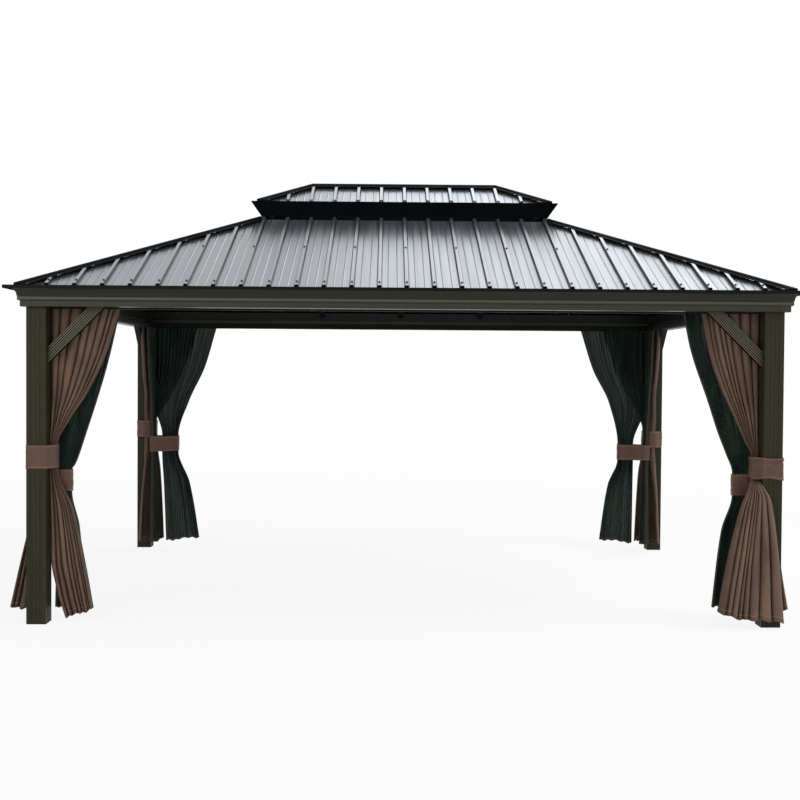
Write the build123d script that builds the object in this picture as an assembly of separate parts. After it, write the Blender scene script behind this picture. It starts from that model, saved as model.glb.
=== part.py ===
from build123d import *
import os
from math import atan, cos, radians, sin, sqrt

# A hardtop garden gazebo: four fluted posts, a moulded eave, a ribbed hip roof with a raised vent roof,
# and curtains and nets tied back to the posts.
# Millimetres. X runs along the long side, the front faces -Y, Z is up, the origin is on the ground
# under the middle.

# Overall sizes
roof_length = 4870
roof_depth = 3500
eave_height = 2074
roof_slope = 0.4415
roof_inset = 78
eave_drop = 124

# Posts, feet and beams
post_width = 120
post_wall = 3
post_flutes = 3
flute_pitch = 26
flute_width = 12
flute_depth = 2
eave_overhang = 111
foot_plate = 4
foot_socket_height = 60
foot_socket_wall = 4
beam_width = 80
beam_wall = 3
fit_gap = 0.3

# Knee braces
brace_reach = 345
brace_inset = 245
brace_thickness = 40
brace_wall = 3
brace_reeds = 5
reed_pitch = 12
reed_width = 4
reed_depth = 1.5

# Eave moulding, as distances out from the post face and up from the beam underside
band_out = 27.5
band_height = 33
groove_depth = 2.5
groove_height = 3
torus_out = 41
torus_height = 26
torus_chamfer = 5
cove_start = 45
cove_radius = 58
fascia_wall = 3
fascia_height = 119
trim_thickness = 1.5
trim_lip = 20
trim_leg = 100
corner_arm = 67
corner_sheet = 1.5

# Roof sheets, ribs and caps
sheet_thickness = 1.5
rib_pitch = 168.6
rib_height = 20
rib_foot = 34
rib_crown = 20
rib_edge_margin = 5
minor_ribs = 2
minor_rib_width = 12
minor_rib_height = 2.5
hip_seam = 2
cap_half_width = 55
cap_ridge_half_width = 22
cap_ridge_rise = 5
cap_fold = 4
cap_head_gap = 2
cap_nose = 25

# Roof frame
vent_half_depth = 344
ring_lap = 20
hip_rafter_width = 50
rafter_width = 40
rafter_height = 50
rafter_wall = 2.5
purlin_width = 40
purlin_height = 20
ring_width = 60
ring_height = 60
rafter_share = 0.68

# Raised vent roof
top_overhang = 73
top_lift = 125
top_inset = 64
top_slope = 0.463
skirt_thickness = 1.5
skirt_drop = 94
skirt_lean = 0.69
skirt_flange = 90
top_frame_width = 40
top_frame_height = 36
stud_width = 20
top_hip_bar_width = 30
top_hip_bar_height = 25

# Curtain tracks
track_width = 90
track_height = 30
track_web = 4
track_recess = 22
channel_width = 26
channel_slot = 8
channel_wall = 3
outer_channel_in = 27
inner_channel_in = 69

# Curtains, nets and tie bands
curtain_thickness = 44
net_outward = 10
net_inward = 30
tie_height = 150
net_tie_height = 140
bunch_width = 46
bunch_inward = 12
bunch_outward = 40
side_net_bunch_width = 78
side_net_bunch_swell = 5
post_clearance = 2
net_corner_clearance = 4
front_fold_clearance = 8
front_fold_depth = 60
hem_height = 60
hem_swell = 15
hang_gap = 0.3
side_hem_reach = 189
band_thickness = 3
band_clearance = 0.4

# Worked out from the sizes above
half_length = roof_length / 2
half_depth = roof_depth / 2
post_face_x = half_length - eave_overhang
post_face_y = half_depth - eave_overhang
post_x = post_face_x - post_width / 2
post_y = post_face_y - post_width / 2
pitch = atan(roof_slope)
sheet_drop = sheet_thickness / cos(pitch)
beam_underside = eave_height - eave_drop
trim_seat = beam_underside + fascia_height + fit_gap + trim_thickness
sheet_eave = trim_seat + fit_gap + sheet_drop
beam_top = sheet_eave + (eave_overhang - roof_inset) * roof_slope - sheet_drop - fit_gap
roof_half_length = half_length - roof_inset
roof_half_depth = half_depth - roof_inset
roof_run = roof_half_depth - vent_half_depth
vent_half_length = roof_half_length - roof_run
vent_height = sheet_eave + roof_run * roof_slope
ring_half_length = vent_half_length + ring_lap
ring_half_depth = vent_half_depth + ring_lap
ring_top = vent_height - ring_lap * roof_slope - sheet_drop - fit_gap
above_all = 2 * eave_height
top_half_length = vent_half_length + top_overhang
top_half_depth = vent_half_depth + top_overhang
top_eave_height = vent_height + top_lift
top_pitch = atan(top_slope)
top_sheet_drop = sheet_thickness / cos(top_pitch)
top_sheet_eave = top_eave_height + fit_gap + top_sheet_drop
top_roof_half_length = top_half_length - top_inset
top_roof_half_depth = top_half_depth - top_inset
ridge_half_length = top_half_length - top_half_depth
ridge_height = top_sheet_eave + top_roof_half_depth * top_slope
frame_setback = skirt_drop * skirt_lean + skirt_thickness / cos(atan(skirt_lean)) + fit_gap
frame_outer_x = top_half_length - frame_setback
frame_outer_y = top_half_depth - frame_setback
frame_top = top_eave_height - skirt_thickness - fit_gap
frame_bottom = frame_top - top_frame_height
track_bottom = beam_underside - track_height + track_recess

os.makedirs("parts", exist_ok=True)


def block(x0, x1, y0, y1, z0, z1):
    """A box between two corners."""
    centre = Pos((x0 + x1) / 2, (y0 + y1) / 2, (z0 + z1) / 2)
    return centre * Box(abs(x1 - x0), abs(y1 - y0), abs(z1 - z0))


def prism(points, z0, z1):
    """An upright prism over a plan outline."""
    outline = make_face(Polyline(*points, close=True))
    return Pos(0, 0, z0) * extrude(outline, amount=z1 - z0)


def tube_profile(width, height, wall):
    """The section of a rectangular tube, centred."""
    return Rectangle(width, height) - Rectangle(width - 2 * wall, height - 2 * wall)


def four_corners(solid):
    """The solid at the front right corner and its mirror images at the other three."""
    front_left = mirror(solid, about=Plane.YZ)
    return [front_left, solid, mirror(front_left, about=Plane.XZ), mirror(solid, about=Plane.XZ)]


def save(name, *solids):
    """Write one node, as one solid or as several that do not touch."""
    export_step(solids[0] if len(solids) == 1 else Compound(children=list(solids)), f"parts/{name}.step")


# The sides in order round the middle, each a quarter turn on from the one before
SIDE_NAMES = ("front", "right", "back", "left")
CORNER_NAMES = ("front_left", "front_right", "back_left", "back_right")


def make_post():
    """A hollow square post with shallow flutes down each face."""
    section = Rectangle(post_width, post_width)
    for face in range(4):
        for flute in range(post_flutes):
            offset_x = (flute - (post_flutes - 1) / 2) * flute_pitch
            groove = Pos(offset_x, post_width / 2) * Rectangle(flute_width, 2 * flute_depth)
            section -= Rot(0, 0, 90 * face) * groove
    inside = post_width - 2 * (post_wall + flute_depth)
    section -= Rectangle(inside, inside)
    height = beam_top - foot_plate - fit_gap
    return Pos(post_x, -post_y, foot_plate + fit_gap) * extrude(section, amount=height)


def make_foot():
    """A flat plate under the post with a square socket that stands up inside it."""
    inside = post_width - 2 * (post_wall + flute_depth) - 2 * fit_gap
    plate = extrude(Rectangle(post_width, post_width), amount=foot_plate)
    socket = tube_profile(inside, inside, foot_socket_wall)
    foot = plate + Pos(0, 0, foot_plate) * extrude(socket, amount=foot_socket_height)
    return Pos(post_x, -post_y, 0) * foot


def make_beam(half_run, setback):
    """A rectangular tube between two posts, its outer face in line with theirs."""
    height = beam_top - beam_underside
    length = 2 * (half_run - eave_overhang - post_width - fit_gap)
    section = Plane.YZ * tube_profile(beam_width, height, beam_wall)
    beam = extrude(section, amount=length / 2, both=True)
    face = setback - eave_overhang
    return Pos(0, -face + beam_width / 2, beam_underside + height / 2) * beam


def moulding_outline():
    """The outer outline of the eave moulding, from the beam face outward and up."""
    groove_out = band_out - groove_depth
    torus_bottom = band_height + groove_height
    torus_top = torus_bottom + torus_height
    cove_end = cove_start + cove_radius
    corner = cove_radius * (1 - sin(radians(45)))
    cove_mid = (cove_start + corner, torus_top + (fascia_height - torus_top) - corner)
    lines = Polyline((fit_gap, 0), (band_out, 0), (band_out, band_height), (groove_out, band_height))
    lines += Line((groove_out, band_height), (groove_out, torus_bottom))
    lines += Polyline((groove_out, torus_bottom), (torus_out - torus_chamfer, torus_bottom),
                      (torus_out, torus_bottom + torus_chamfer), (torus_out, torus_top - torus_chamfer),
                      (torus_out - torus_chamfer, torus_top), (cove_start, torus_top))
    lines += ThreePointArc((cove_start, torus_top), cove_mid, (cove_end, fascia_height - 2))
    lines += Polyline((cove_end, fascia_height - 2), (cove_end, fascia_height), (fit_gap, fascia_height),
                      (fit_gap, 0))
    return make_face(lines)


def mitre_prism(half_run, setback, depth_in, depth_out, gap=fit_gap):
    """The plan wedge of one side, cut at 45 degrees at both corners of the post faces."""
    corner_x = half_run - eave_overhang
    corner_y = setback - eave_overhang
    points = [
        (-corner_x - depth_out + gap, -corner_y - depth_out),
        (corner_x + depth_out - gap, -corner_y - depth_out),
        (corner_x - depth_in - gap, -corner_y + depth_in),
        (-corner_x + depth_in + gap, -corner_y + depth_in),
    ]
    return prism(points, beam_underside - 50, eave_height + 100)


def along_side(section, half_run, setback):
    """Extrude a moulding section along one side, out from the post face and up from the beam."""
    reach = half_run + 50
    plane = Plane(origin=(reach, -(setback - eave_overhang), beam_underside), x_dir=(0, -1, 0), z_dir=(-1, 0, 0))
    return extrude(plane * section, amount=2 * reach)


def make_fascia(half_run, setback):
    """The hollow eave moulding of one side, mitred at the corners."""
    outline = moulding_outline()
    section = outline - offset(outline, amount=-fascia_wall)
    return along_side(section, half_run, setback) & mitre_prism(half_run, setback, 1, 200)


def make_trim(half_run, setback):
    """The thin drip edge on top of the moulding, with a lip that hangs over its front."""
    bottom = fascia_height + fit_gap
    leg = Pos(eave_overhang - trim_leg / 2, bottom + trim_thickness / 2) * Rectangle(trim_leg, trim_thickness)
    lip = Pos(eave_overhang - trim_thickness / 2, eave_drop - trim_lip / 2) * Rectangle(trim_thickness, trim_lip)
    return along_side(leg + lip, half_run, setback) & mitre_prism(half_run, setback, 1, 200)


def make_corner_sleeve():
    """The bent cover over the two lower bands of the moulding at the front right corner."""
    torus_top = band_height + groove_height + torus_height
    keep = Pos(100, torus_top / 2 - 5) * Rectangle(200 - 2 * fit_gap, torus_top + 10)
    bands = moulding_outline() & keep
    shell = offset(bands, amount=fit_gap + corner_sheet, kind=Kind.INTERSECTION)
    shell -= offset(bands, amount=fit_gap, kind=Kind.INTERSECTION)
    shell = shell & keep
    arm = along_side(shell, half_length, half_depth) & mitre_prism(half_length, half_depth, 1, 200, 0)
    tip = post_face_x + band_out
    arm = arm & block(tip - corner_arm, tip + 100, -half_depth - 100, 0, 0, eave_height + 100)
    across = Plane(origin=(post_face_x, -post_face_y, 0), z_dir=(1, 1, 0))
    other = mirror(arm, about=across)
    return arm + other


def make_brace():
    """One reeded knee brace in the front right corner, from the post to the front beam."""
    width = (brace_reach - brace_inset) / sqrt(2)
    section = tube_profile(width, brace_thickness, brace_wall)
    for reed in range(brace_reeds):
        offset_x = (reed - (brace_reeds - 1) / 2) * reed_pitch
        for side in (-1, 1):
            section -= Pos(offset_x, side * brace_thickness / 2) * Rectangle(reed_width, 2 * reed_depth)
    middle = (brace_reach + brace_inset) / 2
    inner_face = post_face_x - post_width
    start = (inner_face + 50, -post_y, beam_underside - middle - 50)
    plane = Plane(origin=start, x_dir=(1, 0, 1), z_dir=(-1, 0, 1))
    bar = extrude(plane * section, amount=brace_reach * 2)
    room = block(inner_face - fit_gap, inner_face - 2 * brace_reach, -post_y - 100, -post_y + 100,
                 beam_underside - 2 * brace_reach, beam_underside - fit_gap)
    return bar & room


def make_side_brace():
    """The same brace turned to run from the post to the side beam."""
    return Pos(post_x, -post_y, 0) * Rot(0, 0, -90) * Pos(-post_x, post_y, 0) * make_brace()


def rib_points(centre):
    """The bends of one rib of a roof sheet."""
    return [(centre - rib_foot / 2, 0), (centre - rib_crown / 2, rib_height),
            (centre + rib_crown / 2, rib_height), (centre + rib_foot / 2, 0)]


def minor_rib_points(centre):
    """The bends of one of the low stiffening ribs pressed into each pan."""
    return [(centre - minor_rib_width / 2, 0), (centre, minor_rib_height), (centre + minor_rib_width / 2, 0)]


def rib_outline(half_run):
    """The ribbed profile of a roof sheet, seen along the slope."""
    count = int((half_run - rib_edge_margin - rib_foot / 2) // rib_pitch)
    upper = [(-half_run, 0)]
    lower = [(-half_run, 0)]
    for rib in range(-count, count + 1):
        upper += rib_points(rib * rib_pitch)
        lower += rib_points(rib * rib_pitch)
        if rib < count:
            for minor in range(minor_ribs):
                upper += minor_rib_points((rib + (minor + 1) / (minor_ribs + 1)) * rib_pitch)
    upper += [(half_run, 0)]
    lower += [(half_run, 0)]
    lower = [(x, y - sheet_thickness) for x, y in reversed(lower)]
    return make_face(Polyline(*upper, *lower, close=True))


def make_slope(half_run, setback, top_setback, eave_z, slope):
    """A ribbed roof sheet that faces -Y, cut upright at its eave, its head and its two hips."""
    angle = atan(slope)
    spare = 2 * rib_height
    origin = (0, -setback - spare * cos(angle), eave_z - spare * sin(angle))
    plane = Plane(origin=origin, x_dir=(-1, 0, 0), z_dir=(0, cos(angle), sin(angle)))
    sheet = extrude(plane * rib_outline(half_run), amount=(setback - top_setback) / cos(angle) + 2 * spare)
    eave_end = half_run - hip_seam
    head_end = eave_end - (setback - top_setback)
    if head_end > hip_seam:
        head = [(head_end, -top_setback), (-head_end, -top_setback)]
    else:
        head = [(0, -setback + eave_end)]
    outline = [(-eave_end, -setback), (eave_end, -setback)] + head
    return sheet & prism(outline, 0, above_all)


def folded_cap(origin, direction, across, drop, reach, fill=0):
    """A folded cap over a roof joint, its flanges clear above the ribs, extruded from origin along direction.

    With a fill, the space under the cap down to that depth is solid too.
    """
    half_width = cap_half_width
    base = (rib_height + fit_gap) * sqrt(1 + drop * drop)
    step = cap_ridge_half_width + cap_fold
    upper = [
        (-half_width, base - half_width * drop),
        (-step, base - step * drop),
        (-cap_ridge_half_width, base - cap_ridge_half_width * drop + cap_ridge_rise),
        (0, base + cap_ridge_rise),
    ]
    upper += [(-x, y) for x, y in reversed(upper[:-1])]
    thickness = sheet_thickness * sqrt(1 + drop * drop)
    top = [(x, y + thickness) for x, y in reversed(upper)]
    if fill:
        upper = [(-half_width, -fill), (half_width, -fill)]
    plane = Plane(origin=origin, x_dir=across, z_dir=direction)
    return extrude(plane * make_face(Polyline(*upper, *top, close=True)), amount=reach)


def make_hip_cap(corner_x, corner_y, run, eave_z, slope, head_gap, floor):
    """The cap over the front right hip, from past the corner of the sheets up to the head of the slope.

    At its lower end it is folded down to the floor, the metal edge that the sheets stand on.
    """
    drop = slope / sqrt(slope * slope + 2)
    spare = 2 * cap_half_width
    origin = (corner_x + spare, -corner_y - spare, eave_z - spare * slope)
    along, across, reach = (-1, 1, slope), (-1, -1, 0), 2 * (run + spare)
    end_x, end_y = corner_x + cap_nose, -corner_y - cap_nose
    head_x, head_y = corner_x - run + head_gap, -corner_y + run - head_gap
    cap = folded_cap(origin, along, across, drop, reach) & block(head_x, end_x, end_y, head_y, 0, above_all)
    arm = 2 * cap_half_width
    fold = block(end_x - sheet_thickness, end_x, end_y, end_y + arm, floor + fit_gap, above_all)
    fold += block(end_x - arm, end_x, end_y, end_y + sheet_thickness, floor + fit_gap, above_all)
    return cap + (folded_cap(origin, along, across, drop, reach, cap_half_width) & fold)


def make_ridge_cap():
    """The cap along the ridge of the vent roof."""
    start = (-ridge_half_length, 0, ridge_height)
    return folded_cap(start, (1, 0, 0), (0, 1, 0), top_slope, 2 * ridge_half_length)


def make_hip_rafter():
    """A tube under the front right hip, from the post to the vent ring."""
    drop = roof_slope / sqrt(roof_slope * roof_slope + 2)
    steep = sqrt(1 + roof_slope * roof_slope / 2)
    depth = (sheet_thickness + fit_gap) * sqrt(1 + drop * drop) + drop * hip_rafter_width / 2
    centre_drop = depth + rafter_height / 2
    rise = centre_drop * steep
    origin = (roof_half_length, -roof_half_depth, sheet_eave - rise)
    plane = Plane(origin=origin, x_dir=(-1, -1, 0), z_dir=(-1, 1, roof_slope))
    bar = extrude(plane * tube_profile(hip_rafter_width, rafter_height, rafter_wall), amount=3 * roof_run)
    inner_x = post_face_x - post_width - fit_gap
    inner_y = post_face_y - post_width - fit_gap
    room = block(ring_half_length + fit_gap, inner_x, -inner_y, -ring_half_depth - fit_gap, 0, above_all)
    return bar & room


def make_rafter(setback, ring_setback, offset_x):
    """A tube from the inner face of a front beam up to the vent ring, below the purlins."""
    upright = 1 / cos(pitch)
    top_drop = (sheet_thickness + purlin_height + 2 * fit_gap) * upright
    centre_drop = top_drop + rafter_height / 2 * upright
    origin = (offset_x, -setback + roof_inset, sheet_eave - centre_drop)
    plane = Plane(origin=origin, x_dir=(-1, 0, 0), z_dir=(0, 1, roof_slope))
    bar = extrude(plane * tube_profile(rafter_width, rafter_height, rafter_wall), amount=2 * setback)
    beam_inner = setback - eave_overhang - beam_width - fit_gap
    room = block(offset_x - rafter_width, offset_x + rafter_width, -beam_inner, -ring_setback - fit_gap, 0, above_all)
    return bar & room


def make_purlin(half_run, setback):
    """A flat bar under the middle of a slope, between its two hip rafters, on top of its rafters."""
    middle = roof_run / 2
    upright = 1 / cos(pitch)
    centre_drop = (sheet_thickness + fit_gap + purlin_height / 2) * upright
    length = half_run - roof_inset - middle - (hip_rafter_width / 2 + fit_gap) * sqrt(2) - purlin_width
    origin = (length, -(setback - roof_inset - middle), sheet_eave + middle * roof_slope - centre_drop)
    plane = Plane(origin=origin, x_dir=(0, 1, roof_slope), z_dir=(-1, 0, 0))
    return extrude(plane * Rectangle(purlin_width, purlin_height), amount=2 * length)


def ring_bars(outer_x, outer_y, width, bottom, top):
    """Four bars around an opening: the long ones run through, the short ones fit between them."""
    short_end = outer_y - width - fit_gap
    return [
        block(-outer_x, outer_x, -outer_y, -outer_y + width, bottom, top),
        block(-outer_x, outer_x, outer_y - width, outer_y, bottom, top),
        block(-outer_x, -outer_x + width, -short_end, short_end, bottom, top),
        block(outer_x - width, outer_x, -short_end, short_end, bottom, top),
    ]


def skirt_wall(half_run, setback):
    """The skirt under one eave of the vent roof: a flat flange that the sheets rest on and a leaning wall."""
    top = top_eave_height
    wall = skirt_thickness / cos(atan(skirt_lean))
    foot = setback - skirt_drop * skirt_lean
    section = [
        (setback, top),
        (foot, top - skirt_drop),
        (foot - wall, top - skirt_drop),
        (setback - wall - skirt_thickness * skirt_lean, top - skirt_thickness),
        (setback - skirt_flange, top - skirt_thickness),
        (setback - skirt_flange, top),
    ]
    plane = Plane(origin=(half_run, 0, 0), x_dir=(0, -1, 0), z_dir=(-1, 0, 0))
    side = extrude(plane * make_face(Polyline(*section, close=True)), amount=2 * half_run)
    inward = 2 * skirt_flange
    wedge = [(-half_run + fit_gap, -setback), (half_run - fit_gap, -setback),
             (half_run - inward - fit_gap, -setback + inward), (-half_run + inward + fit_gap, -setback + inward)]
    return side & prism(wedge, 0, above_all)


def make_studs():
    """Short uprights from the vent ring to the frame of the vent roof."""
    outer_x = vent_half_length - hip_seam
    outer_y = vent_half_depth - hip_seam
    studs = []
    for x in (-outer_x, -stud_width / 2, outer_x - stud_width):
        for y in (-outer_y, outer_y - stud_width):
            studs.append(block(x, x + stud_width, y, y + stud_width, ring_top + fit_gap, frame_bottom - fit_gap))
    return studs


def make_top_hip_bar():
    """A bar under the front right hip of the vent roof, from its frame to its ridge bar."""
    drop = top_slope / sqrt(top_slope * top_slope + 2)
    steep = sqrt(1 + top_slope * top_slope / 2)
    depth = (sheet_thickness + fit_gap) * sqrt(1 + drop * drop) + drop * top_hip_bar_width / 2
    rise = (depth + top_hip_bar_height / 2) * steep
    origin = (top_roof_half_length, -top_roof_half_depth, top_sheet_eave - rise)
    plane = Plane(origin=origin, x_dir=(-1, -1, 0), z_dir=(-1, 1, top_slope))
    bar = extrude(plane * Rectangle(top_hip_bar_width, top_hip_bar_height), amount=3 * top_half_depth)
    inner_x = frame_outer_x - top_frame_width - fit_gap
    inner_y = frame_outer_y - top_frame_width - fit_gap
    far = ridge_half_length + top_hip_bar_width
    return bar & block(far, inner_x, -inner_y, -top_hip_bar_width, 0, above_all)


def make_ridge_bar():
    """The bar under the ridge, held by the four hip bars."""
    top = ridge_height - top_sheet_drop - top_hip_bar_width * top_slope - fit_gap
    end = ridge_half_length + top_hip_bar_width - fit_gap
    half_width = top_hip_bar_width
    return block(-end, end, -half_width + fit_gap, half_width - fit_gap, top - 2 * top_hip_bar_height, top)


def make_track(length):
    """A double curtain track for the front, out from the inner face of the beam, with two slotted channels."""
    web = Pos(track_width / 2, -track_web / 2) * Rectangle(track_width - fit_gap, track_web)
    channel_height = track_height - track_web
    section = web
    for inward in (outer_channel_in, inner_channel_in):
        channel = Rectangle(channel_width, channel_height) - Rectangle(channel_width - 2 * channel_wall,
                                                                       channel_height - 2 * channel_wall)
        channel -= Pos(0, -channel_height / 2) * Rectangle(channel_slot, 3 * channel_wall)
        section += Pos(inward, -track_web - channel_height / 2) * channel
    plane = Plane(origin=(-length, 0, 0), x_dir=(0, 1, 0), z_dir=(1, 0, 0))
    return extrude(plane * section, amount=2 * length)


def drape(sections):
    """A hanging bunch of cloth through plan rectangles given as (z, x0, x1, y0, y1), closed with flat faces."""
    rings = [[(x0, y0, z), (x1, y0, z), (x1, y1, z), (x0, y1, z)] for z, x0, x1, y0, y1 in sections]
    faces = [make_face(Polyline(*rings[0], close=True)), make_face(Polyline(*rings[-1], close=True))]
    for upper, lower in zip(rings, rings[1:]):
        for corner in range(4):
            after = (corner + 1) % 4
            side = (upper[corner], upper[after], lower[after], lower[corner])
            faces.append(make_face(Polyline(*side, close=True)))
    return Solid(Shell([sketch.faces()[0] for sketch in faces]))


# The gathered cloth at each corner, as plan reaches in from the inner face of the post: the curtains and
# the nets at the track, the inner and the outer end of both hems and of the net's tie, how far the side
# curtain's hem flares beyond the outer face of the post, and the heights of the tops of both ties.
# A reach below zero lies outside the inner face.
CLOTH = {
    "front_left": {"top": 429, "side_top": 424, "hem": (274, 4), "flare": 136, "tie": 1105,
                   "net_top": 420, "net_side_top": 409, "net_hem": (214, 84), "net_bunch": (117, 38), "net_tie": 945},
    "front_right": {"top": 370, "side_top": 424, "hem": (286, -121), "flare": 136, "tie": 1062,
                    "net_top": 467, "net_side_top": 409, "net_hem": (274, 84), "net_bunch": (144, 42), "net_tie": 940},
    "back_left": {"top": 414, "side_top": 279, "hem": (119, 4), "flare": -24, "tie": 1130,
                  "net_top": 584, "net_side_top": 309, "net_hem": (452, 144), "net_bunch": (250, 105),
                  "net_tie": 998},
    "back_right": {"top": 414, "side_top": 279, "hem": (119, 4), "flare": -24, "tie": 1062,
                   "net_top": 619, "net_side_top": 309, "net_hem": (449, 144), "net_bunch": (280, 140),
                   "net_tie": 945},
}
post_inner_x = post_face_x - post_width
post_inner_y = post_face_y - post_width
curtain_line_y = post_face_y - beam_width - outer_channel_in
curtain_line_x = post_face_x - beam_width - outer_channel_in
net_line_y = post_face_y - beam_width - inner_channel_in
net_line_x = post_face_x - beam_width - inner_channel_in
net_edge_x = net_line_x - net_inward - net_corner_clearance
net_edge_y = net_line_y - net_inward - net_corner_clearance
hang_height = track_bottom - hang_gap


def blend(start, end, share):
    """A value part of the way from start to end."""
    return start + (end - start) * share


def long_curtain(size):
    """The curtain on the long side, gathered against the inner face of the post."""
    front, back = curtain_line_y + curtain_thickness / 2, curtain_line_y - curtain_thickness / 2
    tie_front, tie_back = curtain_line_y + bunch_outward, curtain_line_y - bunch_inward
    edge = post_inner_x - post_clearance
    waist = post_inner_x - bunch_width
    top = post_inner_x - size["top"]
    hem_in, hem_out = [post_inner_x - reach for reach in size["hem"]]
    tie_top, tie_bottom = size["tie"], size["tie"] - tie_height
    sections = [
        (hang_height, top, edge, back, front),
        (blend(tie_top, hang_height, 0.65), blend(top, waist, 0.28), edge, back, front),
        (blend(tie_top, hang_height, 0.35), blend(top, waist, 0.55), edge, back, front),
        (tie_top, waist, edge, tie_back, tie_front),
        (tie_bottom, waist, edge, tie_back, tie_front),
    ]
    if hem_out > post_inner_x:
        near = post_face_y + front_fold_clearance
        far = near + front_fold_depth
        sections += [(blend(tie_bottom, 0, 0.04), waist - bunch_width, edge, near, blend(near, far, 0.65))]
        sections += [(blend(tie_bottom, 0, 0.15), blend(waist, hem_in, 0.5), blend(edge, hem_out, 0.45), near,
                      blend(near, far, 0.85))]
        sections += [(hem_height / 3, hem_in, hem_out, near, far)]
    else:
        sections += [(blend(hem_height, tie_bottom, 0.7), blend(waist, hem_in, 0.4), edge, back, front)]
        sections += [(hem_height, hem_in, hem_out, back - hem_swell / 2, front + hem_swell)]
    return drape(sections)


def side_curtain(size):
    """The curtain on the short side, gathered behind the post, its hem flaring outward."""
    out, inner = curtain_line_x + curtain_thickness / 2, curtain_line_x - curtain_thickness / 2
    tie_out, tie_inner = curtain_line_x + bunch_outward, curtain_line_x - bunch_inward
    edge = post_inner_y - post_clearance
    waist = post_inner_y - bunch_width
    top = post_inner_y - size["side_top"]
    hem = post_inner_y - side_hem_reach
    flare = post_face_x + size["flare"]
    tie_top, tie_bottom = size["tie"], size["tie"] - tie_height
    sections = [
        (hang_height, inner, out, top, edge),
        (blend(tie_top, hang_height, 0.5), inner, out, blend(top, waist, 0.4), edge),
        (tie_top, tie_inner, tie_out, waist, edge),
        (tie_bottom, tie_inner, tie_out, waist, edge),
        (blend(hem_height, tie_bottom, 0.7), tie_inner, blend(tie_out, flare, 0.3), blend(waist, hem, 0.4), edge),
        (hem_height, tie_inner, flare, hem, edge),
    ]
    return drape(sections)


def long_net_bunch(size):
    """The plan rectangle of the long side's net at its tie."""
    reach_in, reach_out = size["net_bunch"]
    return post_inner_x - reach_in, post_inner_x - reach_out, net_line_y - net_inward, net_line_y + net_outward


def side_net_bunch():
    """The plan rectangle of the short side's net at its tie."""
    inner = net_line_x - net_inward - side_net_bunch_swell
    out = net_line_x + net_outward - net_corner_clearance
    edge = net_edge_y - post_clearance
    return inner, out, edge - side_net_bunch_width, edge


def long_net(size):
    """The net inside the long curtain."""
    front, back = net_line_y + net_outward, net_line_y - net_inward
    bunch = long_net_bunch(size)
    top = post_inner_x - size["net_top"]
    hem_in, hem_out = [post_inner_x - reach for reach in size["net_hem"]]
    tie_top, tie_bottom = size["net_tie"], size["net_tie"] - net_tie_height
    sections = [
        (hang_height, top, net_edge_x, back, front),
        (blend(tie_top, hang_height, 0.5), blend(top, bunch[0], 0.5), net_edge_x, back, front),
        (tie_top, *bunch),
        (tie_bottom, *bunch),
        (blend(hem_height, tie_bottom, 0.7), blend(bunch[0], hem_in, 0.4), bunch[1], back, front),
        (hem_height, hem_in, hem_out, back, front),
    ]
    return drape(sections)


def side_net(size):
    """The net inside the side curtain."""
    out, inner = net_line_x + net_outward, net_line_x - net_inward
    bunch = side_net_bunch()
    top = post_inner_y - size["net_side_top"]
    tie_top, tie_bottom = size["net_tie"], size["net_tie"] - net_tie_height
    sections = [
        (hang_height, inner, out, top, net_edge_y),
        (blend(tie_top, hang_height, 0.5), inner, out, blend(top, bunch[2], 0.4), net_edge_y),
        (tie_top, *bunch),
        (tie_bottom, *bunch),
        (hem_height, bunch[0] - net_inward, bunch[1], bunch[2] - side_net_bunch_width, bunch[3]),
    ]
    return drape(sections)


def band(points, bottom, height):
    """A closed band of cloth, clear of the plan outline that it ties."""
    outline = make_face(Polyline(*points, close=True))
    inner = offset(outline, amount=band_clearance, kind=Kind.INTERSECTION)
    outer = offset(outline, amount=band_clearance + band_thickness, kind=Kind.INTERSECTION)
    return Pos(0, 0, bottom) * extrude(outer - inner, amount=height)


def post_band(size):
    """The tie band drawn around the post and both of its curtains."""
    x0, y0 = post_inner_x - bunch_width, post_inner_y - bunch_width
    points = [
        (x0, curtain_line_y + bunch_outward),
        (post_inner_x, post_face_y),
        (post_face_x, post_face_y),
        (post_face_x, post_inner_y),
        (curtain_line_x + bunch_outward, y0),
        (curtain_line_x - bunch_inward, y0),
        (x0, curtain_line_y - bunch_inward),
    ]
    return band(points, size["tie"] - tie_height, tie_height)


def net_band(size):
    """The tie band around both nets of a corner."""
    long_x0, long_x1, long_y0, long_y1 = long_net_bunch(size)
    side_x0, side_x1, side_y0, side_y1 = side_net_bunch()
    points = [(long_x0, long_y1), (long_x1, long_y1), (side_x1, side_y1), (side_x1, side_y0), (side_x0, side_y0),
              (long_x0, long_y0)]
    return band(points, size["net_tie"] - net_tie_height, net_tie_height)


def placed(solid, corner):
    """Move a solid made at the back right corner to the corner named."""
    if corner.endswith("left"):
        solid = mirror(solid, about=Plane.YZ)
    if corner.startswith("front"):
        solid = mirror(solid, about=Plane.XZ)
    return solid


# Posts and feet
for name, post in zip(CORNER_NAMES, four_corners(make_post())):
    save("post_" + name, post)
save("post_feet", *four_corners(make_foot()))

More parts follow.
